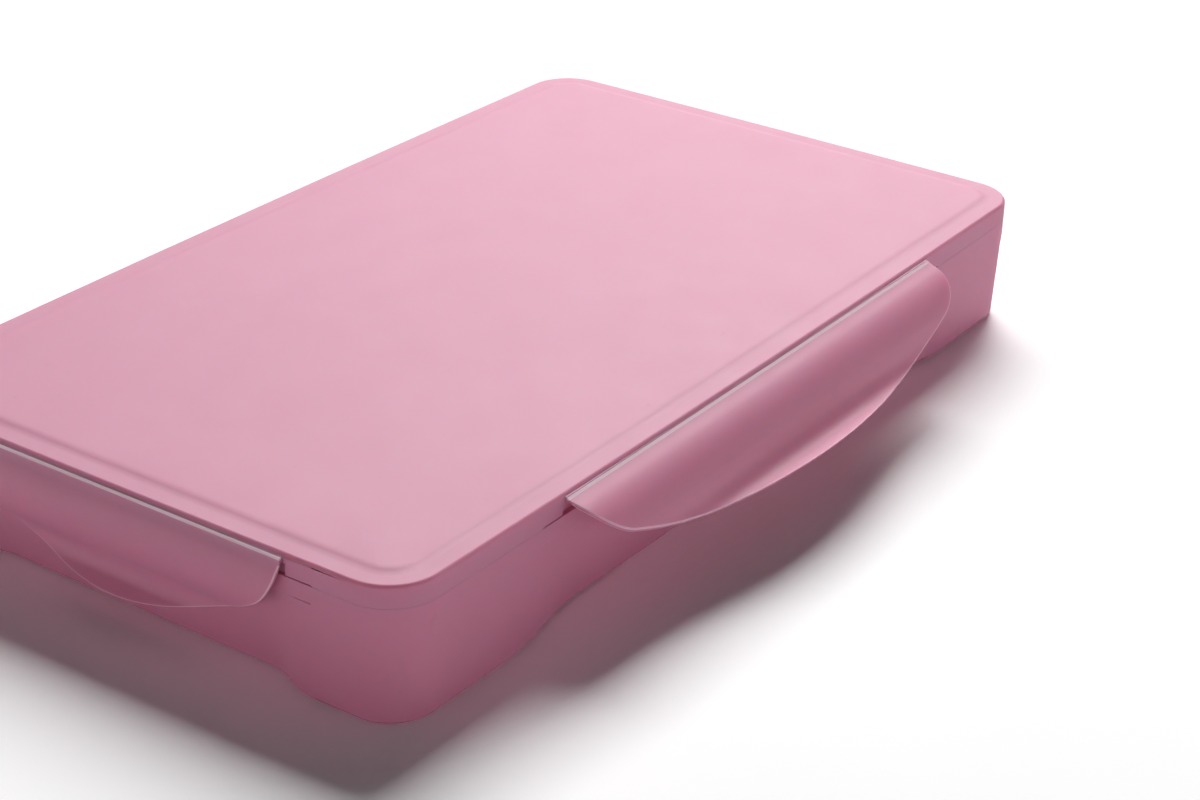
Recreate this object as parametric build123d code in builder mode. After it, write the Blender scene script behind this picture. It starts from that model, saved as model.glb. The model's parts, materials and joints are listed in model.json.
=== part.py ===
from build123d import *
from math import cos, radians, sin, sqrt, tan
import os

os.makedirs("parts", exist_ok=True)

# A flat carrying box for gouache cups: a waisted base, a slab lid with a hinged wing on each
# side, and inside it a tray of paint cups under a mixing palette.
# Frame: X along the long side, +Z up, origin on the table under the middle of the base.
# The front is the long side at -Y. All sizes are in millimetres.

# ---- Box as a whole -------------------------------------------------------------------------
length = 320.0            # lid, left to right, measured at the corners
width = 184.0             # lid, front to back, measured at the corners
height = 41.0             # table to the lid's raised panel
corner_radius = 15.0      # plan radius of lid and base corners
long_side_bow = 1.0       # how far a long side bulges out at its middle
short_side_bow = 0.4      # the same for a short side
wall = 2.4                # moulded wall of the base
sliding_gap = 0.3         # between parts that rest on or pass each other

# ---- Lid ------------------------------------------------------------------------------------
skirt_depth = 7.0         # from the lid's top down to the parting line
skirt_wall = 1.1          # skirt thickness outside the base's tongue
lid_plate = 1.8           # thickness of the lid's top plate
lid_edge_bevel = 0.7      # bevel of the lid's upper edge
panel_inset = 6.0         # from the lid's edge to the foot of the raised panel
panel_step = 3.0          # width of the soft step up to the panel
panel_rise = 0.7          # height of that step
lid_fit = 0.25            # between skirt and tongue

# ---- Base -----------------------------------------------------------------------------------
flange_height = 5.0       # band under the parting line
flange_step = 0.15        # how far that band stands proud of the corners below it
tongue_height = 3.8       # lip that stands up inside the lid's skirt
floor = 2.0               # thickness of the base's bottom
draft_inset = 1.2         # how much smaller the base is at the table than at the flange
foot_bevel = 1.2          # bevel of the bottom edge
waist_top = 1.2           # how far the walls are drawn in just under the flange
waist_bottom = 5.5        # how far they are drawn in at the table
long_foot = 40.0          # straight stretch beside each corner, along a long side
long_swell = 45.0         # length of the curve from there into the waist
short_foot = 28.0         # the same along a short side
short_swell = 20.0
recess_wall = 1.2         # rim left behind the recess of each wing
recess_drop = 9.0         # how far the recess runs down below the flange

# ---- Wings ----------------------------------------------------------------------------------
long_wing = 189.0         # length of the hinge line on a long side
short_wing = 112.0        # length of the hinge line on a short side
wing_thickness = 1.4
hinge_drop = 2.5          # hinge axis below the lid's top
hinge_gap = 0.35          # hinge axis outside the bowed side
bead_radius = 0.7         # rolled bead along the hinge axis
running_fit = 0.06        # radial play of the bead in its groove
web_slope = 12.0          # taper of the web between bead and wing, in degrees
bulge_radius = 15.5       # upper, outward bulge of the wing's section
bulge_start = 37.0        # slope of the section at the hinge, outwards from vertical
bulge_end = -38.0         # slope where the bulge ends, inwards
hollow_radius = 5.3       # lower hollow, where a fingertip goes
lip_slope = 47.0          # slope of the lip at the bottom
lip_length = 3.6          # straight part of the lip
wing_end_radius = 17.0    # rounding of the wing's ends, seen from the side
front_wing_open = 51.5    # the front wing stands this far out of its closed place
ledge_half_height = 0.9   # bar on the lid that holds the bead's groove
ledge_stand = 0.1         # bar outside the bowed side
bay_end_gap = 0.8         # skirt cut away beyond each end of a wing
recess_end = 5.5          # recess beyond the straight stretch of a wing's lower edge
rib_end = 7.0             # latch rib short of each end of the recess
rib_drop = 0.4            # rib below the flange when the wing is closed
rib_height = 0.7          # flat at the rib's tip
rib_run = 2.0             # sloped underside of the rib

# ---- Tray and cups --------------------------------------------------------------------------
columns = 6
rows = 3
tray_clearance = 1.2      # tray's skirt to the base's waist at the floor
tray_top = 26.0           # tray plate's top above the table
tray_plate = 1.2
tray_wall = 1.2
tray_rib = 1.0
tray_margin = 5.0         # plate outside the tray's own skirt
tray_radius = 10.0
cup_gap_x = 6.5           # between cup bodies at the rim, along X
cup_gap_y = 6.5           # the same along Y
cup_corner = 5.5          # flat cut off each corner of a cup
cup_taper = 7.0           # degrees
cup_wall = 0.9
cup_depth = 20.2          # underside of the cup's flange down to its bottom
cup_flange = 1.7          # how far the flange stands out all round
cup_flange_thickness = 1.0
hole_clearance = 0.5      # tray hole around each cup
fill_drop = 2.5           # paint surface below the cup's rim
fill_clearance = 0.1      # between paint and cup
paint_names = [
    "white", "lemon", "yellow", "orange", "vermilion", "crimson",
    "pink", "violet", "ultramarine", "sky_blue", "turquoise", "green",
    "sap_green", "ochre", "sienna", "umber", "grey", "black",
]

# ---- Palette --------------------------------------------------------------------------------
palette_wall = 1.2
palette_fit = 0.6         # between palette and the base's rim
palette_rim = 3.0         # down-turned rim of the palette
palette_drop = 0.9        # palette's top below the lid's underside
well_margin = 6.0         # web between wells and around them
small_wells = 4
large_wells = 2
small_well_width = 52.0   # along Y
well_corner = 7.0         # flat cut off each corner of a well
well_taper = 10.0         # degrees

# ---- Heights that follow --------------------------------------------------------------------
lid_edge_top = height - panel_rise
lid_underside = lid_edge_top - lid_plate
parting = height - skirt_depth
flange_bottom = parting - flange_height
hinge_height = height - hinge_drop
cup_rim = tray_top + cup_flange_thickness
palette_top = lid_underside - palette_drop
palette_floor = cup_rim + sliding_gap

# ---- Plan of the box ------------------------------------------------------------------------
end_x = length / 2 - corner_radius      # corner centres
end_y = width / 2 - corner_radius


def draw_side(end, reach, bow, pinch, foot, swell, turn):
    """One side of the plan: a shallow arc, or two feet with a waist between them if it is pinched."""
    def at(along, inward=0.0):
        out = reach + bow * (1 - (along / end) ** 2) - inward
        return Vector(along, -out).rotate(Axis.Z, turn)

    if pinch == 0:
        ThreePointArc(at(-end), at(0), at(end))
        return
    foot_end = end + corner_radius - foot
    waist_end = foot_end - swell
    left = Line(at(-end), at(-foot_end))
    waist = ThreePointArc(at(-waist_end, pinch), at(0, pinch), at(waist_end, pinch))
    right = Line(at(foot_end), at(end))
    pull = swell / 2
    for before, after in ((left, waist), (waist, right)):
        Bezier(before @ 1, before @ 1 + before % 1 * pull, after @ 0 - after % 0 * pull, after @ 0)


def box_plan(inset, pinch, level):
    """Plan of the box at one level: bowed sides, round corners, and a waist drawn in by pinch."""
    corner = corner_radius - inset
    with BuildSketch(Plane.XY.offset(level)) as plan:
        with BuildLine():
            for turn in (0, 180):
                draw_side(
                    end_x, end_y + corner, long_side_bow, pinch, long_foot, long_swell, turn,
                )
                draw_side(
                    end_y, end_x + corner, short_side_bow, pinch, short_foot, short_swell, turn + 90,
                )
                CenterArc(Vector(end_x, end_y).rotate(Axis.Z, turn), corner, turn, 90)
                CenterArc(Vector(-end_x, end_y).rotate(Axis.Z, turn), corner, turn + 90, 90)
        make_face()
    return plan.sketch


def cut_rectangle(plane, x_size, y_size, cut, grow):
    """Rectangle with its corners cut off, grown all round by this much."""
    with BuildSketch(plane) as outline:
        Rectangle(x_size + 2 * grow, y_size + 2 * grow)
        chamfer(outline.vertices(), cut + grow * (2 - sqrt(2)))
    return outline.sketch


def hopper(plane, x_size, y_size, cut, grow, depth, taper):
    """Solid with that outline at the rim, on this plane, and tapered walls down to its bottom."""
    with BuildPart() as body:
        extrude(cut_rectangle(plane, x_size, y_size, cut, grow), amount=-depth)
        draft(body.faces().filter_by(Axis.Z, reverse=True), neutral_plane=plane, angle=-taper)
    return body.part


# ---- Section of a wing ----------------------------------------------------------------------
# X points out of the box and Y up, from the hinge axis, with the wing closed.
def slope_normal(slope):
    """Unit vector from the wing's outer face into the wing, where the section has this slope."""
    return Vector(-cos(radians(slope)), -sin(radians(slope)))


def along_slope(slope):
    """Unit vector down the wing's section where it has this slope."""
    return Vector(sin(radians(slope)), -cos(radians(slope)))


bulge_centre = slope_normal(bulge_start) * bulge_radius
hollow_centre = bulge_centre - slope_normal(bulge_end) * (bulge_radius + hollow_radius)


def on_bulge(slope, depth=0.0):
    """Point of the bulge at this slope, this deep under its outer face."""
    return bulge_centre - slope_normal(slope) * (bulge_radius - depth)


def on_hollow(slope, depth=0.0):
    """Point of the hollow at this slope, this deep under its outer face."""
    return hollow_centre + slope_normal(slope) * (hollow_radius + depth)


bulge_middle = (bulge_start + bulge_end) / 2
hollow_middle = (bulge_end + lip_slope) / 2
inner_start = bulge_start - web_slope
inner_middle = (inner_start + bulge_end) / 2
lip_end = on_hollow(lip_slope) + along_slope(lip_slope) * lip_length
lip_inner = lip_end + slope_normal(lip_slope) * wing_thickness
wing_depth = -lip_end.Y

# Behind each wing the base has a recess, so that the lid can rise past it with the wing closed.
recess_face = on_hollow(0, wing_thickness).X - sliding_gap
rim_wall = recess_wall - recess_face - hinge_gap
rib_tip = recess_face + sliding_gap
rib_level = flange_bottom - rib_drop - hinge_height
rib_root = on_bulge(0).X - wing_thickness / 2


def side_plane(outward, reach, opening=0.0):
    """Plane across a wing, on its hinge axis: x points out of the box and y up when it is closed."""
    up = Vector(0, 0, 1)
    turned = outward * cos(radians(opening)) + up * sin(radians(opening))
    return Plane(origin=outward * reach + up * hinge_height, x_dir=turned, z_dir=outward.cross(up))


# Each wing: which way its side faces, how far its hinge axis is from the middle of the box, how
# long the wing is, and how far it stands open.
long_reach = width / 2 + long_side_bow + hinge_gap
short_reach = length / 2 + short_side_bow + hinge_gap
wing_sides = {
    "wing_front": (Vector(0, -1, 0), long_reach, long_wing, front_wing_open),
    "wing_back": (Vector(0, 1, 0), long_reach, long_wing, 0.0),
    "wing_left": (Vector(-1, 0, 0), short_reach, short_wing, 0.0),
    "wing_right": (Vector(1, 0, 0), short_reach, short_wing, 0.0),
}


def recess_length(wing_length):
    """Length of the recess: hidden behind the wing, and clear of the part that dips into it."""
    return wing_length - 2 * (wing_end_radius - recess_end)


# ---- Base shell -----------------------------------------------------------------------------
with BuildPart() as base_shell:
    loft([
        box_plan(draft_inset, waist_bottom, 0),
        box_plan(flange_step, waist_top, flange_bottom),
    ])
    chamfer(base_shell.edges().group_by(Axis.Z)[0], foot_bevel)
    extrude(box_plan(0, 0, flange_bottom), amount=flange_height)
    extrude(box_plan(skirt_wall + lid_fit, 0, parting), amount=tongue_height)
    loft(
        [
            box_plan(draft_inset + wall, waist_bottom, floor),
            box_plan(flange_step + wall, waist_top, flange_bottom),
        ],
        mode=Mode.SUBTRACT,
    )
    extrude(
        box_plan(rim_wall, 0, flange_bottom),
        amount=flange_height + tongue_height,
        mode=Mode.SUBTRACT,
    )
    for outward, reach, wing_length, _ in wing_sides.values():
        recess = recess_length(wing_length)
        with BuildSketch(side_plane(outward, reach).offset(-recess / 2)):
            with Locations((recess_face, 0)):
                Rectangle(
                    wall - recess_face,
                    hinge_height - flange_bottom + recess_drop,
                    align=(Align.MIN, Align.MAX),
                )
        extrude(amount=recess, mode=Mode.SUBTRACT)
base_shell.part.label = "base_shell"
export_step(base_shell.part, "parts/base_shell.step")

# ---- Lid ------------------------------------------------------------------------------------
skirt_bottom = parting + sliding_gap
bay_depth = hinge_height - ledge_half_height - skirt_bottom
bay_reach = hinge_gap + long_side_bow + skirt_wall
with BuildPart() as lid_shell:
    extrude(box_plan(0, 0, skirt_bottom), amount=lid_edge_top - skirt_bottom)
    chamfer(lid_shell.edges().group_by(Axis.Z)[-1], lid_edge_bevel)
    loft([
        box_plan(panel_inset, 0, lid_edge_top),
        box_plan(panel_inset + panel_step, 0, height),
    ])
    extrude(
        box_plan(skirt_wall, 0, skirt_bottom),
        amount=lid_underside - skirt_bottom,
        mode=Mode.SUBTRACT,
    )
    for outward, reach, wing_length, _ in wing_sides.values():
        across = side_plane(outward, reach)
        bay = wing_length + 2 * bay_end_gap
        with BuildSketch(across.offset(-bay / 2)):
            with Locations((0, -ledge_half_height)):
                Rectangle(2 * bay_reach, bay_depth, align=(Align.CENTER, Align.MAX))
        extrude(amount=bay, mode=Mode.SUBTRACT)
        with BuildSketch(across.offset(-wing_length / 2)):
            with Locations((ledge_stand - hinge_gap, 0)):
                Rectangle(
                    skirt_wall + ledge_stand,
                    2 * ledge_half_height,
                    align=(Align.MAX, Align.CENTER),
                )
        extrude(amount=wing_length)
        with BuildSketch(across.offset(-bay / 2)):
            Circle(bead_radius + running_fit)
        extrude(amount=bay, mode=Mode.SUBTRACT)
lid_shell.part.label = "lid_shell"
export_step(lid_shell.part, "parts/lid_shell.step")


# ---- Wings ----------------------------------------------------------------------------------
def wing_section(plane):
    """S-shaped section of a wing: bead, bulge, hollow and lip."""
    with BuildSketch(plane) as section:
        with BuildLine():
            ThreePointArc(on_bulge(bulge_start), on_bulge(bulge_middle), on_bulge(bulge_end))
            ThreePointArc(on_hollow(bulge_end), on_hollow(hollow_middle), on_hollow(lip_slope))
            Polyline(
                on_hollow(lip_slope), lip_end, lip_inner, on_hollow(lip_slope, wing_thickness),
            )
            ThreePointArc(
                on_hollow(lip_slope, wing_thickness),
                on_hollow(hollow_middle, wing_thickness),
                on_hollow(bulge_end, wing_thickness),
            )
            ThreePointArc(
                on_bulge(bulge_end, wing_thickness),
                on_bulge(inner_middle, wing_thickness),
                on_bulge(inner_start, wing_thickness),
            )
            Line(on_bulge(inner_start, wing_thickness), on_bulge(bulge_start))
        make_face()
        Circle(bead_radius)
    return section.sketch


def wing_outline(plane, wing_length):
    """Side view of a wing: straight along the hinge, round ends, one long shallow arc below."""
    half = wing_length / 2
    run = half - wing_end_radius
    drop = wing_depth - wing_end_radius
    sweep_radius = (run**2 + drop**2 + 2 * drop * wing_end_radius) / (2 * drop)
    sweep_centre = Vector(0, sweep_radius - wing_depth)
    end_centre = Vector(run, 0)
    joint = end_centre + (end_centre - sweep_centre).normalized() * wing_end_radius
    corner_angle = (joint - end_centre).get_angle(Vector(1, 0)) / 2
    corner_way = Vector(cos(radians(corner_angle)), -sin(radians(corner_angle)))
    top = 2 * bead_radius
    with BuildSketch(plane) as outline:
        with BuildLine():
            Polyline((0, top), (half, top), (half, 0))
            ThreePointArc((half, 0), end_centre + corner_way * wing_end_radius, joint)
            ThreePointArc(
                joint,
                (joint.X / 2, sweep_centre.Y - sqrt(sweep_radius**2 - joint.X**2 / 4)),
                (0, -wing_depth),
            )
            mirror(about=Plane.YZ)
        make_face()
    return outline.sketch


for name, (outward, reach, wing_length, opening) in wing_sides.items():
    turned = side_plane(outward, reach, opening)
    facing = Plane(origin=turned.origin, x_dir=turned.z_dir, z_dir=-turned.x_dir)
    rib_length = recess_length(wing_length) - 2 * rib_end
    with BuildPart() as wing:
        extrude(wing_section(turned), amount=wing_length / 2, both=True)
        extrude(
            wing_outline(facing, wing_length), amount=2 * bulge_radius, both=True, mode=Mode.INTERSECT,
        )
        with BuildSketch(turned.offset(-rib_length / 2)):
            with BuildLine():
                Polyline(
                    (rib_root, rib_level),
                    (rib_tip, rib_level),
                    (rib_tip, rib_level - rib_height),
                    (rib_root, rib_level - rib_height - rib_run),
                    close=True,
                )
            make_face()
        extrude(amount=rib_length)
    wing.part.label = name
    export_step(wing.part, f"parts/{name}.step")

# ---- Cup tray -------------------------------------------------------------------------------
tray_inset = draft_inset + wall + waist_bottom + tray_clearance
tray_length = length - 2 * tray_inset
tray_width = width - 2 * tray_inset
pitch_x = (tray_length - 2 * tray_wall) / columns
pitch_y = (tray_width - 2 * tray_wall) / rows
cup_length = pitch_x - cup_gap_x
cup_width = pitch_y - cup_gap_y
tray_foot = floor + sliding_gap
cells = GridLocations(pitch_x, pitch_y, columns, rows).local_locations
cup_outline = (cup_length, cup_width, cup_corner)

with BuildPart() as cup_tray:
    with BuildSketch(Plane.XY.offset(tray_top)):
        RectangleRounded(tray_length + 2 * tray_margin, tray_width + 2 * tray_margin, tray_radius)
        with Locations(*cells):
            add(cut_rectangle(Plane.XY, *cup_outline, hole_clearance), mode=Mode.SUBTRACT)
    extrude(amount=-tray_plate)
    with BuildSketch(Plane.XY.offset(tray_foot)):
        RectangleRounded(tray_length, tray_width, tray_radius - tray_margin)
        Rectangle(columns * pitch_x, rows * pitch_y, mode=Mode.SUBTRACT)
        with GridLocations(pitch_x, 0, columns - 1, 1):
            Rectangle(tray_rib, tray_width - tray_wall)
        with GridLocations(0, pitch_y, 1, rows - 1):
            Rectangle(tray_length - tray_wall, tray_rib)
    extrude(amount=tray_top - tray_plate - tray_foot)
cup_tray.part.label = "cup_tray"
export_step(cup_tray.part, "parts/cup_tray.step")

# ---- Cups and paint -------------------------------------------------------------------------
inner_depth = cup_depth + cup_flange_thickness - cup_wall
fill_depth = inner_depth - fill_drop - fill_clearance
fill_shrink = cup_wall + fill_clearance + fill_drop * tan(radians(cup_taper))
for number, (cell, colour) in enumerate(zip(cells, paint_names), start=1):
    seat = Plane(cell).offset(tray_top)
    rim = seat.offset(cup_flange_thickness)
    with BuildPart() as cup:
        extrude(cut_rectangle(seat, *cup_outline, cup_flange), amount=cup_flange_thickness)
        add(hopper(seat, *cup_outline, 0, cup_depth, cup_taper))
        add(hopper(rim, *cup_outline, -cup_wall, inner_depth, cup_taper), mode=Mode.SUBTRACT)
    cup.part.label = f"cup_{number:02d}"
    export_step(cup.part, f"parts/cup_{number:02d}.step")

    with BuildPart() as paint:
        add(hopper(rim.offset(-fill_drop), *cup_outline, -fill_shrink, fill_depth, cup_taper))
    paint.part.label = f"paint_{colour}"
    export_step(paint.part, f"parts/paint_{colour}.step")

# ---- Palette --------------------------------------------------------------------------------
palette_inset = rim_wall + palette_fit
well_depth = palette_top - palette_floor
wells_x = length - 2 * palette_inset - 4 * well_margin
wells_y = width - 2 * palette_inset - 4 * well_margin
large_well_width = wells_y - well_margin - small_well_width
well_rows = (
    (small_wells, small_well_width, (wells_y - small_well_width) / 2),
    (large_wells, large_well_width, (large_well_width - wells_y) / 2),
)


def wells(grow, depth):
    """Solids of all wells, grown all round by this much."""
    solids = []
    for count, well_width, across in well_rows:
        well_pitch = (wells_x + well_margin) / count
        for place in GridLocations(well_pitch, 0, count, 1).local_locations:
            mouth = Plane((place.position.X, across, palette_top))
            well_length = well_pitch - well_margin
            solids.append(
                hopper(mouth, well_length, well_width, well_corner, grow, depth, well_taper)
            )
    return solids


with BuildPart() as palette:
    extrude(box_plan(palette_inset, 0, palette_top), amount=-palette_rim)
    extrude(
        box_plan(palette_inset + palette_wall, 0, palette_top - palette_wall),
        amount=palette_wall - palette_rim,
        mode=Mode.SUBTRACT,
    )
    add(wells(palette_wall, well_depth))
    add(wells(0, well_depth - palette_wall), mode=Mode.SUBTRACT)
palette.part.label = "palette"
export_step(palette.part, "parts/palette.step")
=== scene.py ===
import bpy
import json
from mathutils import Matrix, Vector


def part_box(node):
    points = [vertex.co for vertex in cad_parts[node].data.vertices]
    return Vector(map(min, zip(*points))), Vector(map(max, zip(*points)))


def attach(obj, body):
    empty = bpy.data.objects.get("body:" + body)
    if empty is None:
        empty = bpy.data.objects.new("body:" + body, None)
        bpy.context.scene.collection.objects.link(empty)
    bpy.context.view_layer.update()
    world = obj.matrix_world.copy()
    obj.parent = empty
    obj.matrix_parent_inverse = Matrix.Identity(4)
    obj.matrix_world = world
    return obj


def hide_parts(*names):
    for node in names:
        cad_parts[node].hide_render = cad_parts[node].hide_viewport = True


bl_info = {
    "name": "Gouache paint box",
    "version": (1, 0, 0),
    "blender": (4, 5, 0),
    "location": "View3D > Sidebar > Paint Box",
    "description": "Finishes the moulded box, its wings, cups, paint and palette",
    "category": "Object",
}

import json
from math import cos, radians, sin

import bmesh
import bpy
from bpy.props import (
    FloatProperty,
    FloatVectorProperty,
    IntProperty,
    PointerProperty,
)
from mathutils import Euler, Matrix, Vector, noise

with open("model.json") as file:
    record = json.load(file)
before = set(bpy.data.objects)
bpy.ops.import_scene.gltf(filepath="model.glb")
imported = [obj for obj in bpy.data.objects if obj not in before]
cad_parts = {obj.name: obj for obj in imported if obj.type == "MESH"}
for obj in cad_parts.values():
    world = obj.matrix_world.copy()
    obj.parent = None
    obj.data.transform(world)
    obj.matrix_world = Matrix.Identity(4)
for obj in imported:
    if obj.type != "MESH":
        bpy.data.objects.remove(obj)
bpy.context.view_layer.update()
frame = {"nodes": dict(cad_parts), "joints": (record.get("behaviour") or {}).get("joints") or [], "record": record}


def shade(red, green, blue):
    """Linear colour of a display colour given from 0 to 255."""
    linear = []
    for part in (red, green, blue):
        part /= 255
        linear.append(part / 12.92 if part <= 0.04045 else ((part + 0.055) / 1.055) ** 2.4)
    return tuple(linear)


def length_setting(name, default, text):
    """A length that a user may change, in metres."""
    return FloatProperty(name=name, default=default, min=0, unit="LENGTH", description=text)


def colour_setting(name, default, text):
    """A colour that a user may change."""
    return FloatVectorProperty(
        name=name, default=default, size=3, min=0, max=1, subtype="COLOR", description=text
    )


# ---- Settings -------------------------------------------------------------------------------
class ShellSettings(bpy.types.PropertyGroup):
    """Rounding and finish of the pink mouldings."""

    edge_round: length_setting("Edge round", 0.0002, "Radius on the moulded outer edges")
    lid_round: length_setting("Lid edge round", 0.0004, "Softening of the lid's bevelled edge")
    panel_round: length_setting("Panel round", 0.0011, "Softening of the raised panel's step")
    panel_rise: length_setting("Panel rise", 0.0003, "Height of the step round the raised panel")
    crown: length_setting("Panel crown", 0.03, "How far in the panel still rises")
    slot_run: length_setting("Slot", 0.0085, "Open slot under the lid beside a wing")
    parting_gap: length_setting("Parting", 0.00027, "How much the parting line is narrowed")
    flange: length_setting("Flange height", 0.029, "Height of the underside of the base's flange")
    foot_round: length_setting("Foot round", 0.0006, "Softening of the base's bottom edge")
    rim_round: length_setting("Wing rim round", 0.0004, "Radius on the rim of a wing")
    grain: length_setting("Spark grain", 0.00022, "Size of the fine grain left by the mould")
    grain_depth: length_setting("Grain depth", 0.000012, "Depth of that grain")
    pink: colour_setting("Pink", shade(214, 130, 162), "Colour of the plastic")
    whitened: colour_setting("Whitened hinge", shade(246, 211, 223), "Bent plastic at a hinge")
    # The rim colour is a painted highlight: a paler pink on a wing's rounded rim, where its edge catches the light
    painted_rim_highlight: colour_setting("Rim highlight", shade(238, 184, 206), "Painted highlight along a wing's rim")
    web_fade: length_setting("Hinge web", 0.0035, "How far from its hinge a wing is thickened")
    hinge_line: length_setting("Whitened width", 0.00042, "Reach of the whitening on a hinge")


class CupSettings(bpy.types.PropertyGroup):
    """Shape and finish of the paint cups and what is in them."""

    corner: length_setting("Corner round", 0.0022, "How far a cup's cut corners are rounded")
    bottom_round: length_setting("Bottom round", 0.0016, "Radius round a cup's bottom")
    rim_round: length_setting("Rim round", 0.00018, "Radius on a cup's rim")
    milky: colour_setting("Cup plastic", shade(222, 224, 224), "Colour of the cups")
    rings: IntProperty(name="Paint rings", default=9, min=3, description="Rings of a paint face")
    swirl: length_setting("Paint swirl", 0.0005, "Height of the waves on the paint")


class TraySettings(bpy.types.PropertyGroup):
    """Finish of the tray and the palette."""

    edge_round: length_setting("Edge round", 0.0003, "Radius on the edges of tray and palette")
    hole_corner: length_setting("Hole corner", 0.0022, "Rounding of the holes' cut corners")
    well_corner: length_setting("Well corner", 0.003, "Rounding of the wells' cut corners")
    well_round: length_setting("Well round", 0.0018, "Radius round a well's bottom")
    tray: colour_setting("Tray", shade(226, 224, 221), "Colour of the cup tray")
    palette: colour_setting("Palette", shade(228, 228, 225), "Colour of the mixing palette")


class StageSettings(bpy.types.PropertyGroup):
    """Floor, light and camera."""

    floor_size: length_setting("Floor size", 6.0, "Side of the floor")
    floor: colour_setting("Floor", (0.9, 0.9, 0.9), "Colour of the floor")
    lift: FloatProperty(
        name="Floor lift", default=1.5, min=1,
        description="How much paler the camera sees the near floor, as bright paper",
    )
    far_lift: FloatProperty(
        name="Far floor lift", default=1.03, min=1,
        description="How much paler the camera sees the floor behind the box",
    )
    key_power: FloatProperty(
        name="Key light", default=278.0, min=0, unit="POWER",
        description="Soft light behind the box",
    )
    key_length: length_setting("Key length", 3.36, "Size of the soft light along X")
    key_width: length_setting("Key width", 2.3, "Size of the soft light along Y")
    key_place: FloatVectorProperty(
        name="Key place", default=(2.84, 1.48, 2.4), size=3, subtype="TRANSLATION",
        unit="LENGTH", description="Where the soft light hangs",
    )
    walls: FloatProperty(
        name="Walls", default=3.6, min=0, description="Light from the lit floor and walls far off"
    )
    ceiling: FloatProperty(
        name="Ceiling", default=0.03, min=0, description="Light from the dark ceiling"
    )
    focal_length: FloatProperty(
        name="Focal length", default=78.474, min=1, description="Camera lens in millimetres"
    )


class PaintBoxSettings(bpy.types.PropertyGroup):
    """Everything a user would change."""

    shell: PointerProperty(type=ShellSettings, name="Shell", description="Pink mouldings")
    cups: PointerProperty(type=CupSettings, name="Cups", description="Cups and paint")
    trays: PointerProperty(type=TraySettings, name="Trays", description="Tray and palette")
    stage: PointerProperty(type=StageSettings, name="Stage", description="Floor, light, camera")


# ---- Mesh tools -----------------------------------------------------------------------------
# Lengths are in metres.
MERGE = 2e-6                    # vertices of a CAD node closer than this are one
FLAT = radians(0.15)            # faces that meet at less than this are one flat face
SHARP = radians(40)             # faces that meet at more than this keep a sharp edge
DECIMALS = 5                    # to which heights and middles are compared
LEVEL = 0.99                    # upward part of the normal of a level face
HOLLOW_DEPTH = 0.004            # a hollow's floor lies at least this far under the top
LEAST_FLOOR = 0.0001            # area of the smallest hollow's floor, in square metres
CLIMB = 0.5                     # least rise of a leaning edge, as a share of its length

# Least and most turn, in degrees, between the two faces of an edge that is rounded
FOOT_TURNS = (25, 65)           # bevel round the base's bottom
BASE_TURNS = (50, 130)          # other edges of the base
PANEL_TURNS = (2, 30)           # foot and shoulder of the lid's raised panel
CUT_TURNS = (30, 60)            # corners and edges that the CAD cuts flat
FLOOR_TURNS = (60, 100)         # floors of the hollows
SQUARE_TURNS = (60, 130)        # edges near a right angle
RIM_TURNS = (40, 150)           # a wing's rim, which slants along its middle


def cut_across(bm, along, place):
    """Divides the mesh with a plane at this place along X (0) or Y (1)."""
    axis = Vector((1, 0, 0)) if along == 0 else Vector((0, 1, 0))
    bmesh.ops.bisect_plane(
        bm, geom=bm.verts[:] + bm.edges[:] + bm.faces[:], plane_co=axis * place, plane_no=axis
    )


def merged_copy(node, middles=()):
    """Copy of a CAD node's mesh with its doubles merged and its flat faces made whole.

    A level face stays divided through these middles of hollows, so that it has no hole in it.
    """
    bm = bmesh.new()
    bm.from_mesh(frame["nodes"][node].data)
    bmesh.ops.remove_doubles(bm, verts=bm.verts, dist=MERGE)
    cuts = {(along, round(middle[along], DECIMALS)) for middle in middles for along in (0, 1)}
    for along, place in sorted(cuts):
        cut_across(bm, along, place)

    def on_a_cut(edge):
        return any(
            all(abs(v.co[along] - place) < MERGE for v in edge.verts) for along, place in cuts
        )

    joined = [e for e in bm.edges if not on_a_cut(e)]
    bmesh.ops.dissolve_limit(bm, angle_limit=FLAT, verts=bm.verts, edges=joined)
    return bm


def hollow_middles(node):
    """Middles of the floors of the hollows in a CAD node."""
    bm = merged_copy(node)
    highest = max(v.co.z for v in bm.verts) - HOLLOW_DEPTH
    floors = [f for f in bm.faces if f.normal.z > LEVEL and f.calc_area() > LEAST_FLOOR]
    middles = [f.calc_center_bounds() for f in floors if f.calc_center_bounds().z < highest]
    bm.free()
    return middles


def edges_between(bm, turns, chosen):
    """Edges whose two faces turn by an angle in this range and that chosen keeps."""
    least, most = (radians(turn) for turn in turns)
    return [
        edge for edge in bm.edges
        if len(edge.link_faces) == 2 and least < edge.calc_face_angle(0) < most and chosen(edge)
    ]


def round_edges(bm, edges, radius, segments):
    """Rounds these edges, and returns the faces that this made."""
    made = bmesh.ops.bevel(
        bm, geom=edges, offset=radius, offset_type="OFFSET", affect="EDGES",
        segments=segments, profile=0.5, material=-1, clamp_overlap=False,
    )
    return made["faces"]


def at_height(edge, low, high):
    """Whether both ends of an edge lie between these heights."""
    return all(low - MERGE < v.co.z < high + MERGE for v in edge.verts)


def leaning(edge):
    """Whether an edge climbs rather than runs level."""
    low, high = (v.co for v in edge.verts)
    return abs(high.z - low.z) > CLIMB * (high - low).length


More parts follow.
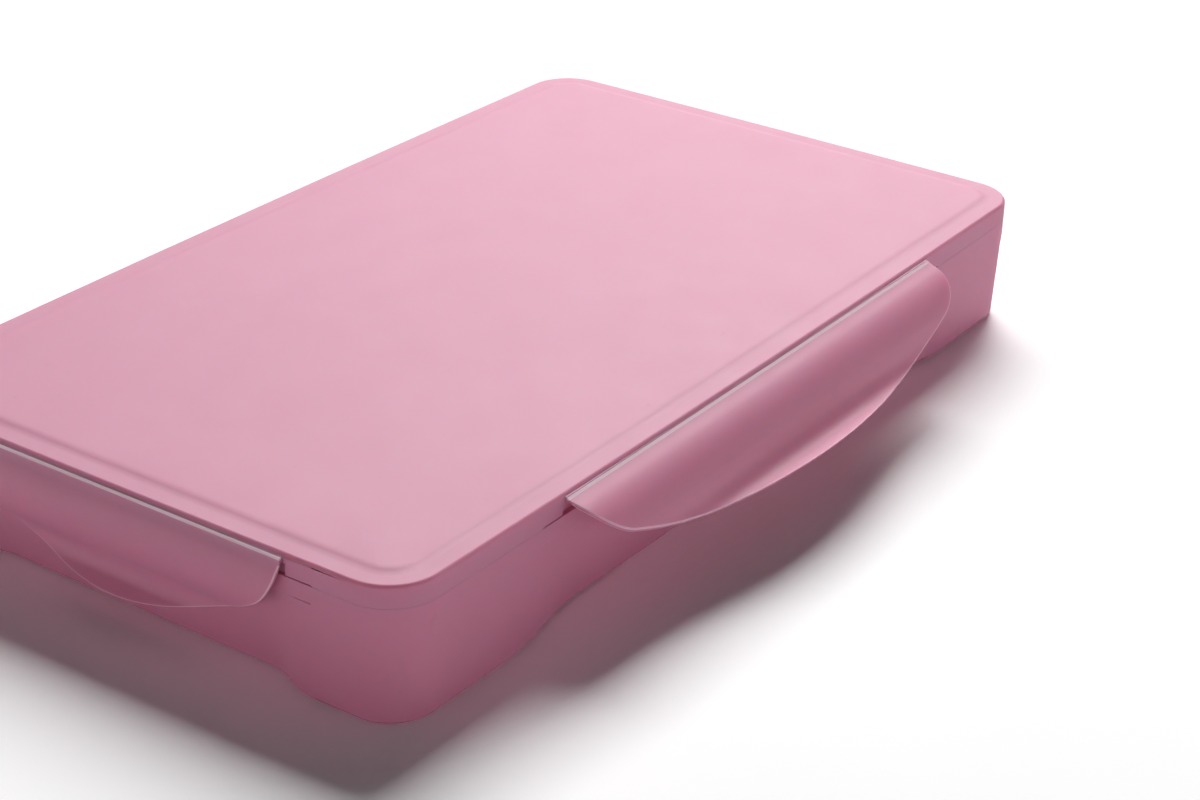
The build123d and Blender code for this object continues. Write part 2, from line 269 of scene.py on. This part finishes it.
def make_piece(bm, name, body, material, replaced):
    """Makes the mesh a shaded object that rides on its body and stands for its CAD nodes."""
    mesh = bpy.data.meshes.new(name)
    bm.to_mesh(mesh)
    bm.free()
    mesh.polygons.foreach_set("use_smooth", [True] * len(mesh.polygons))
    mesh.set_sharp_from_angle(angle=SHARP)
    mesh.materials.append(material)
    piece = bpy.data.objects.new(name, mesh)
    bpy.context.scene.collection.objects.link(piece)
    weights = piece.modifiers.new("Even shading", "WEIGHTED_NORMAL")
    weights.keep_sharp = True
    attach(piece, body)
    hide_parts(*replaced)


# ---- Materials ------------------------------------------------------------------------------
# Sizes are in metres, and tones are shares of the material's own colour. A band is a pair of
# values between which a pattern goes from nothing to all of its effect.
# Faces marked rim get a painted highlight, a paler tone along a wing's rim
RIM = "rim"                     # name of the marks on the faces along a wing's rim
WHITE = (1, 1, 1, 1)

CLOUD_SIZE = 0.05               # faint flow clouds in moulded plastic
CLOUD_TONES = (0.985, 1.015)
SPECK_SIZE = 0.004              # its few darker specks
SPECK_BAND = (0.76, 0.82)
SPECK_SHARE = 0.25
SPECK_TONE = 0.82
SHEEN_SIZE = 0.012              # its uneven sheen
SHEEN_BAND = (0.3, 0.7)
SHEEN_SWING = 0.012             # added to its roughness and taken from it
WHITE_END = 1.35                # where a hinge's whitening ends, as a multiple of its reach
THIN_BAND = (0.0, 0.5)          # whitening or rim that takes away the glow inside the plastic

SWIRL_TONES = (0.92, 1.05)      # brush waves in the paint
DAMP_SIZE = 0.01                # its damp places
DAMP_BAND = (0.35, 0.65)
DAMP_ROUGHNESS = (0.32, 0.62)
PAINT_ROUGHNESS = 0.5           # its roughness on the whole
GRIT_SIZE = 0.0006              # its fine grit

PINK_ROUGHNESS = 0.58
# Roughness, and size and depth of the grain
CUP_FINISH = (0.28, 0.0005, 0.000004)
TRAY_FINISH = (0.42, 0.0004, 0.000008)
PALETTE_FINISH = (0.22, 0.0006, 0.000004)

# A mix node has a pair of inputs and an output for each kind of value.
MIX_SHARE = 0
NUMBER_A = 2
NUMBER_B = 3
COLOUR_A = 6
COLOUR_B = 7
MIXED_NUMBER = 0
MIXED_COLOUR = 2


def new_material(name, roughness, **constants):
    """A material with its node tree and its shader."""
    material = bpy.data.materials.new(name)
    material.use_nodes = True
    shader = material.node_tree.nodes["Principled BSDF"]
    shader.inputs["Roughness"].default_value = roughness
    for socket, value in constants.items():
        shader.inputs[socket.replace("_", " ")].default_value = value
    return material, material.node_tree, shader


def add_node(tree, kind, sockets=(), **values):
    """Adds a node; sockets gives its inputs, as constants or as the outputs that feed them."""
    node = tree.nodes.new(kind)
    for name, value in values.items():
        setattr(node, name, value)
    for key, value in dict(sockets).items():
        if isinstance(value, bpy.types.NodeSocket):
            tree.links.new(value, node.inputs[key])
        else:
            node.inputs[key].default_value = value
    return node


def noise_on(tree, place, size, detail, roughness=0.5):
    """Noise with lumps of about this size."""
    sockets = {"Vector": place, "Scale": 1 / size, "Detail": detail, "Roughness": roughness}
    return add_node(tree, "ShaderNodeTexNoise", sockets).outputs["Fac"]


def spread(tree, value, band, start, end):
    """Value carried from this band to the range between start and end."""
    low, high = band
    sockets = {"Value": value, "From Min": low, "From Max": high, "To Min": start, "To Max": end}
    return add_node(tree, "ShaderNodeMapRange", sockets).outputs["Result"]


def mixed(tree, share, first, second):
    """Colour between two, by share."""
    node = add_node(tree, "ShaderNodeMix", {MIX_SHARE: share}, data_type="RGBA")
    for socket, colour in ((COLOUR_A, first), (COLOUR_B, second)):
        if isinstance(colour, bpy.types.NodeSocket):
            tree.links.new(colour, node.inputs[socket])
        else:
            node.inputs[socket].default_value = (*colour, 1)
    return node.outputs[MIXED_COLOUR]


def scaled(colour, factor):
    """Colour made lighter or darker."""
    return tuple(min(1.0, part * factor) for part in colour)


def between_tones(tree, share, colour, tones):
    """Colour between two tones of one colour, by share."""
    darker, lighter = tones
    return mixed(tree, share, scaled(colour, darker), scaled(colour, lighter))


def moulded_plastic(name, colour, roughness, grain, depth, hinge=None, **constants):
    """Satin moulded plastic: faint flow clouds, uneven sheen and the mould's fine grain.

    A hinge whitens the plastic along its crest, and the rim of its wing gets a painted highlight, a paler tone.
    """
    material, tree, shader = new_material(name, roughness, **constants)
    place = add_node(tree, "ShaderNodeTexCoord").outputs["Object"]
    clouds = noise_on(tree, place, CLOUD_SIZE, detail=3.0)
    tone = between_tones(tree, clouds, colour, CLOUD_TONES)
    specks = noise_on(tree, place, SPECK_SIZE, detail=1.0)
    speck = spread(tree, specks, SPECK_BAND, 0.0, SPECK_SHARE)
    tone = mixed(tree, speck, tone, scaled(colour, SPECK_TONE))
    if hinge:
        crest, along, reach, whitened, painted_highlight_tone = hinge
        across = tuple(0.0 if part else 1.0 for part in along)
        offset = [-part * kept for part, kept in zip(crest, across)]
        from_crest = add_node(
            tree, "ShaderNodeMapping", {"Vector": place, "Location": offset, "Scale": across}
        ).outputs["Vector"]
        away = add_node(
            tree, "ShaderNodeVectorMath", {0: from_crest}, operation="LENGTH"
        ).outputs["Value"]
        white = spread(tree, away, (reach, reach * WHITE_END), 1.0, 0.0)
        tone = mixed(tree, white, tone, whitened)
        # Painted highlight: the rim faces get a paler tone, standing in for the light that the rounded rim catches
        rim = add_node(tree, "ShaderNodeAttribute", attribute_name=RIM).outputs["Fac"]
        tone = mixed(tree, rim, tone, painted_highlight_tone)
        thin = add_node(tree, "ShaderNodeMath", {0: white, 1: rim}, operation="MAXIMUM")
        glow = spread(tree, thin.outputs["Value"], THIN_BAND, constants["Subsurface_Weight"], 0.0)
        tree.links.new(glow, shader.inputs["Subsurface Weight"])
    tree.links.new(tone, shader.inputs["Base Color"])
    sheen = noise_on(tree, place, SHEEN_SIZE, detail=2.0)
    satin = spread(tree, sheen, SHEEN_BAND, roughness - SHEEN_SWING, roughness + SHEEN_SWING)
    tree.links.new(satin, shader.inputs["Roughness"])
    spark = noise_on(tree, place, grain, detail=2.0, roughness=0.6)
    bump = add_node(tree, "ShaderNodeBump", {"Strength": 0.6, "Distance": depth, "Height": spark})
    tree.links.new(bump.outputs["Normal"], shader.inputs["Normal"])
    return material


def pink_plastic(name, settings, hinge=None):
    """The box's own pink polypropylene."""
    return moulded_plastic(
        name, tuple(settings.pink), PINK_ROUGHNESS, settings.grain, settings.grain_depth, hinge,
        Subsurface_Weight=0.7, Subsurface_Radius=(0.0035, 0.0012, 0.0017), Subsurface_Scale=1.0,
        IOR=1.49, Specular_IOR_Level=0.75,
    )


def gouache(name, colour):
    """Thick matt paint with brush waves and a damp sheen in places."""
    material, tree, shader = new_material(name, PAINT_ROUGHNESS)
    place = add_node(tree, "ShaderNodeTexCoord").outputs["Object"]
    swirl = add_node(
        tree, "ShaderNodeTexWave",
        {"Vector": place, "Scale": 90.0, "Distortion": 9.0, "Detail": 2.0, "Detail Scale": 1.6},
    ).outputs["Fac"]
    tree.links.new(between_tones(tree, swirl, colour, SWIRL_TONES), shader.inputs["Base Color"])
    damp = noise_on(tree, place, DAMP_SIZE, detail=2.0)
    tree.links.new(spread(tree, damp, DAMP_BAND, *DAMP_ROUGHNESS), shader.inputs["Roughness"])
    grit = noise_on(tree, place, GRIT_SIZE, detail=3.0, roughness=0.6)
    fine = add_node(tree, "ShaderNodeBump", {"Strength": 0.25, "Distance": 0.0001, "Height": grit})
    wave = add_node(
        tree, "ShaderNodeBump",
        {"Strength": 0.3, "Distance": 0.0004, "Height": swirl, "Normal": fine.outputs["Normal"]},
    )
    tree.links.new(wave.outputs["Normal"], shader.inputs["Normal"])
    return material


# ---- Base -----------------------------------------------------------------------------------
HINGES = {joint["child"]: joint for joint in frame["joints"] if joint["type"] == "hinge"}

FOOT_BEVEL = 0.0013             # the bevel round the base's bottom lies below this
FOOT_KEPT = 0.003               # and edges below this keep the CAD's shape
SLOT_TAPER = 0.0006             # length over which a slot beside a wing closes
ON_FLANGE = 0.00005             # points this near to the flange's underside are on it
LEAST_STEP = 0.0001             # least width of the step under the flange
MOST_STEP = 0.0006              # and its greatest


def beyond_slots(bm, slot_run):
    """Cuts the mesh where the slots beside the wings end, and returns its points beyond them."""
    ends = [0.0, 0.0]
    for body, joint in HINGES.items():
        along = 0 if abs(joint["axis"][0]) > 0.5 else 1
        ends[along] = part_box(body)[1][along] + slot_run
    for along, end in enumerate(ends):
        for side in (-1, 1):
            for cut in (end, end + SLOT_TAPER):
                cut_across(bm, along, side * cut)
    half = SLOT_TAPER / 2
    return [v for v in bm.verts if all(abs(v.co[n]) > ends[n] + half for n in (0, 1))]


def fade_flange(bm, slot_run, flange):
    """Lets the step under the base's flange end before the corners, and returns its points."""
    corners = [v for v in beyond_slots(bm, slot_run) if abs(v.co.z - flange) < ON_FLANGE]
    for v in corners:
        others = [w for w in corners if LEAST_STEP < (w.co - v.co).length < MOST_STEP]
        outer = max(others, key=lambda w: w.co.length, default=v)
        if outer.co.length > v.co.length + LEAST_STEP:
            v.co = outer.co
    bmesh.ops.remove_doubles(bm, verts=corners, dist=MERGE)
    return {v for v in corners if v.is_valid}


class PAINTBOX_OT_base(bpy.types.Operator):
    """Softens the edges of the base and gives it its finish"""

    bl_idname = "paintbox.base"
    bl_label = "Base"

    def execute(self, context):
        shell = context.scene.paint_box.shell
        bm = merged_copy("base_shell")
        foot = min(v.co.z for v in bm.verts)
        faded = fade_flange(bm, shell.slot_run, foot + shell.flange)

        def on_foot(edge):
            return at_height(edge, foot, foot + FOOT_BEVEL)

        def kept_sharp(edge):
            return at_height(edge, foot, foot + FOOT_KEPT) or not faded.isdisjoint(edge.verts)

        round_edges(bm, edges_between(bm, FOOT_TURNS, on_foot), shell.foot_round, 4)
        others = edges_between(bm, BASE_TURNS, lambda e: not kept_sharp(e))
        round_edges(bm, others, shell.edge_round, 2)
        material = pink_plastic("Base plastic", shell)
        make_piece(bm, "base", "base", material, ["base_shell"])
        return {"FINISHED"}


# ---- Lid ------------------------------------------------------------------------------------
PANEL_HEIGHT = 0.0007           # height of the raised panel in the CAD
LID_BEVEL = 0.0008              # the bevel round the lid lies within this of its edge's top
ON_SKIRT = 0.00002              # points this near to the lower edge of the skirt are on it
HINGE_REACH = 0.0012            # edges this near to a hinge's axis stay as they are


def off_hinges(edge):
    """Whether an edge keeps away from every hinge's bead and groove."""
    for joint in HINGES.values():
        axis = Vector(joint["axis"])
        for v in edge.verts:
            arm = v.co - Vector(joint["pos_m"])
            if (arm - axis * arm.dot(axis)).length < HINGE_REACH:
                return False
    return True


def crown_panel(bm, top, shoulder, crown):
    """Gives the raised panel a low step and leaves the rest of its height to a faint crown."""
    face = max(bm.faces, key=lambda f: (round(f.calc_center_median().z, 6), f.calc_area()))
    rim = list(face.verts)
    reach = Vector((max(v.co.x for v in rim), max(v.co.y for v in rim), 0))
    bmesh.ops.inset_region(bm, faces=[face], thickness=0.0)
    for v in face.verts:
        v.co.x *= 1 - crown / reach.x
        v.co.y *= 1 - crown / reach.y
    for v in rim:
        v.co.z += shoulder - top


def close_parting(bm, slot_run, gap):
    """Narrows the gap under the lid's skirt, apart from a short slot beside each wing."""
    bottom = min(v.co.z for v in bm.verts)
    for v in beyond_slots(bm, slot_run):
        if v.co.z < bottom + ON_SKIRT:
            v.co.z -= gap


class PAINTBOX_OT_lid(bpy.types.Operator):
    """Softens the lid's edge and its raised panel, and gives it its finish"""

    bl_idname = "paintbox.lid"
    bl_label = "Lid"

    def execute(self, context):
        shell = context.scene.paint_box.shell
        bm = merged_copy("lid_shell")
        top = max(v.co.z for v in bm.verts)
        edge_top = top - PANEL_HEIGHT
        shoulder = edge_top + shell.panel_rise
        crown_panel(bm, top, shoulder, shell.crown)
        close_parting(bm, shell.slot_run, shell.parting_gap)
        bottom = min(v.co.z for v in bm.verts)

        def on_step(edge):
            return at_height(edge, edge_top, shoulder)

        def on_bevel(edge):
            return at_height(edge, edge_top - LID_BEVEL, edge_top)

        def elsewhere(edge):
            return not at_height(edge, bottom, bottom) and off_hinges(edge)

        round_edges(bm, edges_between(bm, PANEL_TURNS, on_step), shell.panel_round, 5)
        round_edges(bm, edges_between(bm, CUT_TURNS, on_bevel), shell.lid_round, 3)
        round_edges(bm, edges_between(bm, SQUARE_TURNS, elsewhere), shell.edge_round, 2)
        material = pink_plastic("Lid plastic", shell)
        make_piece(bm, "lid", "lid", material, ["lid_shell"])
        return {"FINISHED"}


# ---- Wings ----------------------------------------------------------------------------------
SLOPE_AT_HINGE = radians(37)    # slope of a closed wing's face at its hinge, from vertical
BULGE_RADIUS = 0.0155           # section of a wing below its hinge
BEAD_RADIUS = 0.0007            # bead that a wing turns on
ON_BEAD = 0.00005               # points this little outside the bead are on it
ON_FACE = 0.00008               # points this near to a wing's outer face are on it
WEB_POWER = 4                   # how quickly the web between bead and face thins out
CREST_OUT = 0.0003              # whitened line beyond a hinge's axis
CREST_UP = 0.0006               # and above it


def wing_slope(joint, opening):
    """Ways along and out of a wing's outer face at its hinge, for a wing open this far."""
    outwards = Vector((joint["pos_m"][0], joint["pos_m"][1], 0)).normalized()
    up = Vector((0, 0, 1))
    slope = SLOPE_AT_HINGE + opening
    along = outwards * sin(slope) - up * cos(slope)
    return along, outwards * cos(slope) + up * sin(slope)


def fill_hinge_notch(bm, joint, fade):
    """Lifts the wing's outer face to the top of its bead, fading out away from the hinge."""
    axis_point = Vector(joint["pos_m"])
    axis = Vector(joint["axis"])
    along, out = wing_slope(joint, -min(0.0, radians(joint["range_deg"][0])))
    for v in bm.verts:
        arm = v.co - axis_point
        arm -= axis * arm.dot(axis)
        reach = arm.dot(along)
        height = arm.dot(out)
        if not 0 < reach < fade:
            continue
        face_height = -reach * reach / (2 * BULGE_RADIUS)
        on_bead = height > face_height and arm.length < BEAD_RADIUS + ON_BEAD
        if on_bead or abs(height - face_height) < ON_FACE:
            lifted = face_height + BEAD_RADIUS * (1 - reach / fade) ** WEB_POWER
            v.co += out * (lifted - height)


def crest_of(joint):
    """A point of the whitened line along a wing's hinge."""
    axis_point = Vector(joint["pos_m"])
    outwards = Vector((axis_point.x, axis_point.y, 0)).normalized()
    return axis_point + outwards * CREST_OUT + Vector((0, 0, CREST_UP))


class PAINTBOX_OT_wings(bpy.types.Operator):
    """Rounds the rims of the four wings, paints a highlight along them and whitens their hinges"""

    bl_idname = "paintbox.wings"
    bl_label = "Wings"

    def execute(self, context):
        shell = context.scene.paint_box.shell
        whitened = tuple(shell.whitened)
        painted_rim_highlight = tuple(shell.painted_rim_highlight)
        for body, joint in HINGES.items():
            bm = merged_copy(body)
            fill_hinge_notch(bm, joint, shell.web_fade)
            rim = edges_between(bm, RIM_TURNS, off_hinges)
            # Marks the rounded rim faces, which get a painted highlight
            on_rim = bm.faces.layers.float.new(RIM)
            for face in round_edges(bm, rim, shell.rim_round, 3):
                face[on_rim] = 1.0
            hinge = (crest_of(joint), joint["axis"], shell.hinge_line, whitened, painted_rim_highlight)
            material = pink_plastic(f"{body} plastic", shell, hinge)
            make_piece(bm, f"{body}_panel", body, material, [body])
        return {"FINISHED"}


# ---- Cups, paint, tray and palette ----------------------------------------------------------
CUPS = sorted(n for n in frame["nodes"] if n.startswith("cup_") and n[4:].isdigit())
PAINTS = sorted(n for n in frame["nodes"] if n.startswith("paint_"))

PAINT_CORNER = 0.85             # rounding of the paint's corners, as a share of its cup's
MIDDLE = 0.6                    # half width of a paint face's middle, in widths of its rings
LUMPS = 160                     # lumps on the paint per metre
CURL = 12                       # curl from the middle of a cup to its side, in radians
CURL_SWAY = 9                   # how far the lumps push that curl about, in radians
SINK = 0.7                      # mean depth of the paint's waves, as a share of their height
SINK_LUMPS = 0.35               # share of the lumps
SINK_CURL = 0.3                 # share of the curl


def soften_hollows(bm, corner, bottom, rim):
    """Turns cut corners into round ones, then rounds the bottoms and the rims."""
    round_edges(bm, edges_between(bm, CUT_TURNS, leaning), corner, 5)
    top = max(round(v.co.z, DECIMALS) for v in bm.verts)

    def lies_low(edge):
        return not leaning(edge) and edge.verts[0].co.z < top - HOLLOW_DEPTH

    def lies_high(edge):
        return at_height(edge, top - HOLLOW_DEPTH, top)

    round_edges(bm, edges_between(bm, FLOOR_TURNS, lies_low), bottom, 4)
    round_edges(bm, edges_between(bm, SQUARE_TURNS, lies_high), rim, 2)


class PAINTBOX_OT_cups(bpy.types.Operator):
    """Rounds the corners, bottoms and rims of the paint cups"""

    bl_idname = "paintbox.cups"
    bl_label = "Cups"

    def execute(self, context):
        cups = context.scene.paint_box.cups
        milky = moulded_plastic(
            "Cup plastic", tuple(cups.milky), *CUP_FINISH, IOR=1.49,
            Subsurface_Weight=0.15, Subsurface_Radius=(0.003, 0.003, 0.003), Subsurface_Scale=1.0,
        )
        for node in CUPS:
            bm = merged_copy(node, hollow_middles(node))
            soften_hollows(bm, cups.corner, cups.bottom_round, cups.rim_round)
            make_piece(bm, f"tub_{node[4:]}", "cup_set", milky, [node])
        return {"FINISHED"}


def sink_ring(verts, middle, half, height):
    """Sinks a ring of the paint's face a little, in the waves that its pouring left."""
    for v in verts:
        lump = noise.noise(Vector((v.co.x, v.co.y, 0)) * LUMPS)
        curl = sin(CURL * (v.co - middle).length / half + CURL_SWAY * lump)
        v.co.z = middle.z - height * (SINK + SINK_LUMPS * lump + SINK_CURL * curl)


def pour_waves(bm, rings, height):
    """Divides the paint's face into rings and gives them waves."""
    face = max(bm.faces, key=lambda f: f.calc_center_median().z)
    middle = face.calc_center_median()
    half = max(v.co.x for v in face.verts) - middle.x
    for ring in range(rings, 0, -1):
        bmesh.ops.inset_region(bm, faces=[face], thickness=0)
        outer = ring + MIDDLE
        narrower = (outer - 1) / outer
        bmesh.ops.scale(
            bm, vec=(narrower, narrower, 1), space=Matrix.Translation(-middle), verts=face.verts
        )
        sink_ring(face.verts, middle, half, height)
    bmesh.ops.poke(bm, faces=[face])


class PAINTBOX_OT_paint(bpy.types.Operator):
    """Fills the cups with thick gouache that keeps the marks of its pouring"""

    bl_idname = "paintbox.paint"
    bl_label = "Paint"

    def execute(self, context):
        cups = context.scene.paint_box.cups
        colours = {m["slot"]: m["base_color"] for m in frame["record"]["materials"]}
        for node in PAINTS:
            bm = merged_copy(node)
            corners = edges_between(bm, CUT_TURNS, leaning)
            round_edges(bm, corners, cups.corner * PAINT_CORNER, 5)
            pour_waves(bm, cups.rings, cups.swirl)
            name = node[len("paint_"):]
            material = gouache(f"Gouache {name}", colours[node])
            make_piece(bm, f"gouache_{name}", "cup_set", material, [node])
        return {"FINISHED"}


class PAINTBOX_OT_trays(bpy.types.Operator):
    """Softens the cup tray and the mixing palette"""

    bl_idname = "paintbox.trays"
    bl_label = "Tray and palette"

    def execute(self, context):
        trays = context.scene.paint_box.trays
        bm = merged_copy("cup_tray", [middle for cup in CUPS for middle in hollow_middles(cup)])
        round_edges(bm, edges_between(bm, CUT_TURNS, leaning), trays.hole_corner, 5)
        round_edges(bm, edges_between(bm, SQUARE_TURNS, lambda e: True), trays.edge_round, 2)
        material = moulded_plastic("Tray plastic", tuple(trays.tray), *TRAY_FINISH, IOR=1.49)
        make_piece(bm, "tray", "cup_set", material, ["cup_tray"])
        bm = merged_copy("palette", hollow_middles("palette"))
        soften_hollows(bm, trays.well_corner, trays.well_round, trays.edge_round)
        material = moulded_plastic(
            "Palette plastic", tuple(trays.palette), *PALETTE_FINISH, IOR=1.5
        )
        make_piece(bm, "mixing_palette", "palette", material, ["palette"])
        return {"FINISHED"}


# ---- Stage ----------------------------------------------------------------------------------
PAPER_CLOUDS = 0.15             # size of the faint clouds on the paper, in metres
PAPER_TONES = (0.985, 1.01)
AWAY = (0.8, 0.6, 0.0)          # level way from the camera over the box
FLOOR_BAND = (-0.1, 0.5)        # how far that way the near floor turns into the far one
HORIZON_BAND = (0.06, 0.14)     # height at which the walls turn into the ceiling
CAMERA_PLACE = (-0.567536, -0.423906, 0.357641)
CAMERA_TURN = (63.2675, -1.4763, -55.0533)      # in degrees
SENSOR_WIDTH = 36.0             # in millimetres
CLIP_START = 0.01


def white_paper(stage):
    """Matt paper that the camera sees a little paler than it lights the box."""
    material = bpy.data.materials.new("Paper floor")
    material.use_nodes = True
    tree = material.node_tree
    tree.nodes.remove(tree.nodes["Principled BSDF"])
    place = add_node(tree, "ShaderNodeTexCoord").outputs["Object"]
    clouds = noise_on(tree, place, PAPER_CLOUDS, detail=3.0)
    plain = between_tones(tree, clouds, stage.floor, PAPER_TONES)
    depth = add_node(
        tree, "ShaderNodeVectorMath", {0: place, 1: AWAY}, operation="DOT_PRODUCT"
    ).outputs["Value"]
    lift = spread(tree, depth, FLOOR_BAND, stage.lift, stage.far_lift)
    seen = add_node(tree, "ShaderNodeLightPath").outputs["Is Camera Ray"]
    factor = add_node(
        tree, "ShaderNodeMix", {MIX_SHARE: seen, NUMBER_A: 1.0, NUMBER_B: lift}
    ).outputs[MIXED_NUMBER]
    colour = add_node(
        tree, "ShaderNodeVectorMath", {0: plain, "Scale": factor}, operation="SCALE"
    ).outputs["Vector"]
    matt = add_node(tree, "ShaderNodeBsdfDiffuse", {"Color": colour}).outputs["BSDF"]
    tree.links.new(matt, tree.nodes["Material Output"].inputs["Surface"])
    return material


def lay_floor(scene, stage):
    """Lays a wide sheet of paper under the box."""
    bm = bmesh.new()
    bmesh.ops.create_grid(bm, x_segments=1, y_segments=1, size=stage.floor_size / 2)
    mesh = bpy.data.meshes.new("floor")
    bm.to_mesh(mesh)
    bm.free()
    floor = bpy.data.objects.new("floor", mesh)
    scene.collection.objects.link(floor)
    mesh.materials.append(white_paper(stage))


def light_room(scene, stage):
    """Lights the box from pale walls under a dark ceiling, and shows white behind it."""
    world = bpy.data.worlds.new("Studio")
    world.use_nodes = True
    scene.world = world
    tree = world.node_tree
    room = tree.nodes["Background"]
    direction = add_node(tree, "ShaderNodeTexCoord").outputs["Generated"]
    height = add_node(tree, "ShaderNodeSeparateXYZ", {0: direction}).outputs["Z"]
    strength = spread(tree, height, HORIZON_BAND, stage.walls, stage.ceiling)
    tree.links.new(strength, room.inputs["Strength"])
    room.inputs["Color"].default_value = WHITE
    white = add_node(tree, "ShaderNodeBackground", {"Color": WHITE, "Strength": 1.0})
    rays = add_node(tree, "ShaderNodeLightPath").outputs
    seen = add_node(
        tree, "ShaderNodeMath",
        {0: rays["Is Camera Ray"], 1: rays["Is Transmission Ray"]}, operation="MAXIMUM",
    ).outputs[0]
    shown = add_node(
        tree, "ShaderNodeMixShader", {0: seen, 1: room.outputs[0], 2: white.outputs[0]}
    ).outputs[0]
    tree.links.new(shown, tree.nodes["World Output"].inputs["Surface"])


def hang_key(scene, stage):
    """Hangs the wide soft light over the floor behind the box, facing down."""
    lamp = bpy.data.lights.new("key", "AREA")
    lamp.shape = "RECTANGLE"
    lamp.size = stage.key_length
    lamp.size_y = stage.key_width
    lamp.energy = stage.key_power
    key = bpy.data.objects.new("key", lamp)
    scene.collection.objects.link(key)
    key.location = stage.key_place


def set_camera(scene, stage):
    """Stands the camera where the photograph was taken from."""
    lens = bpy.data.cameras.new("camera")
    lens.sensor_width = SENSOR_WIDTH
    lens.lens = stage.focal_length
    lens.clip_start = CLIP_START
    camera = bpy.data.objects.new("camera", lens)
    scene.collection.objects.link(camera)
    camera.location = CAMERA_PLACE
    camera.rotation_euler = Euler([radians(angle) for angle in CAMERA_TURN], "XYZ")
    scene.camera = camera


class PAINTBOX_OT_stage(bpy.types.Operator):
    """Lays the floor, lights the box and sets the camera"""

    bl_idname = "paintbox.stage"
    bl_label = "Stage"

    def execute(self, context):
        scene = context.scene
        stage = scene.paint_box.stage
        lay_floor(scene, stage)
        light_room(scene, stage)
        hang_key(scene, stage)
        set_camera(scene, stage)
        scene.view_settings.view_transform = "Standard"
        return {"FINISHED"}


# ---- Add-on ---------------------------------------------------------------------------------
class PAINTBOX_PT_sidebar(bpy.types.Panel):
    """Lists the settings and the steps"""

    bl_label = "Paint Box"
    bl_idname = "PAINTBOX_PT_sidebar"
    bl_space_type = "VIEW_3D"
    bl_region_type = "UI"
    bl_category = "Paint Box"

    def draw(self, context):
        for step in STEPS:
            self.layout.operator(step.bl_idname)
        for group in ("shell", "cups", "trays", "stage"):
            box = self.layout.box()
            settings = getattr(context.scene.paint_box, group)
            for name in settings.__annotations__:
                box.prop(settings, name)


STEPS = (
    PAINTBOX_OT_base,
    PAINTBOX_OT_lid,
    PAINTBOX_OT_wings,
    PAINTBOX_OT_trays,
    PAINTBOX_OT_cups,
    PAINTBOX_OT_paint,
    PAINTBOX_OT_stage,
)
CLASSES = (
    ShellSettings,
    CupSettings,
    TraySettings,
    StageSettings,
    PaintBoxSettings,
    *STEPS,
    PAINTBOX_PT_sidebar,
)


def register():
    for entry in CLASSES:
        bpy.utils.register_class(entry)
    bpy.types.Scene.paint_box = PointerProperty(type=PaintBoxSettings)


def unregister():
    del bpy.types.Scene.paint_box
    for entry in reversed(CLASSES):
        bpy.utils.unregister_class(entry)


def main():
    """Builds every piece and the stage."""
    register()
    for step in STEPS:
        group, name = step.bl_idname.split(".")
        getattr(getattr(bpy.ops, group), name)()


if __name__ == "__main__":
    main()
